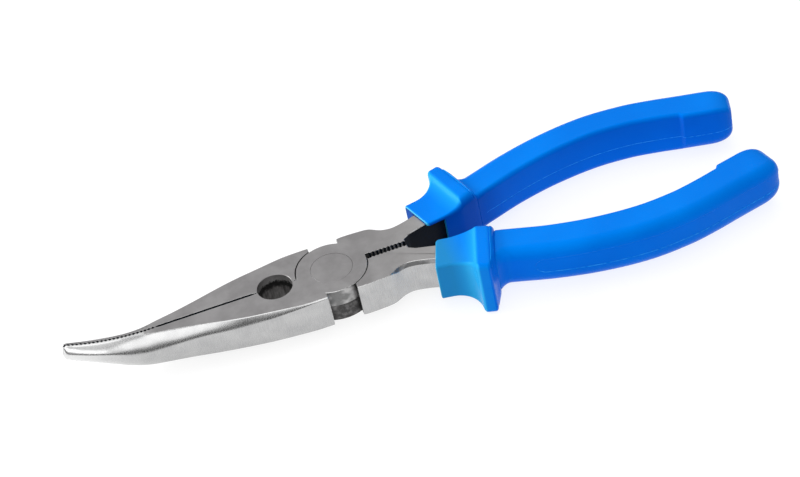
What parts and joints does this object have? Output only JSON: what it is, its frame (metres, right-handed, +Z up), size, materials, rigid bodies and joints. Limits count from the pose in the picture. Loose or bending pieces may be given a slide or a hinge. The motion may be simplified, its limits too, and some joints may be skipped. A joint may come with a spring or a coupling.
{
  "type": "needle nose pliers",
  "caption": "Bent needle nose pliers: crossed forged halves on a lap joint with serrated tips, a round pipe grip, a crimping slot and moulded grips with thumb guards.",
  "frame": {"origin": "on the pivot axis, at the flat underside of the lap joint", "axes": "+X towards the handle ends, +Y towards the left grip, +Z up along the pivot axis; the jaws point to -X and their tips bend up"},
  "size_m": [0.2011, 0.0556, 0.0179],
  "materials": {
    "forged_steel": "ground and satin brushed",
    "rivet_steel": "ground flush",
    "grip_plastic": "smooth gloss"
  },
  "bodies": {
    "lower_side": {"lower_half": "forged_steel", "pivot_rivet": "rivet_steel", "right_grip": "grip_plastic"},
    "upper_side": {"upper_half": "forged_steel", "left_grip": "grip_plastic"}
  },
  "joints": [
    {"name": "pivot", "type": "hinge", "parent": "lower_side", "child": "upper_side", "pos_m": [0, 0, 0.0052], "axis": [0, 0, 1], "range_deg": [0, 36]}
  ]
}
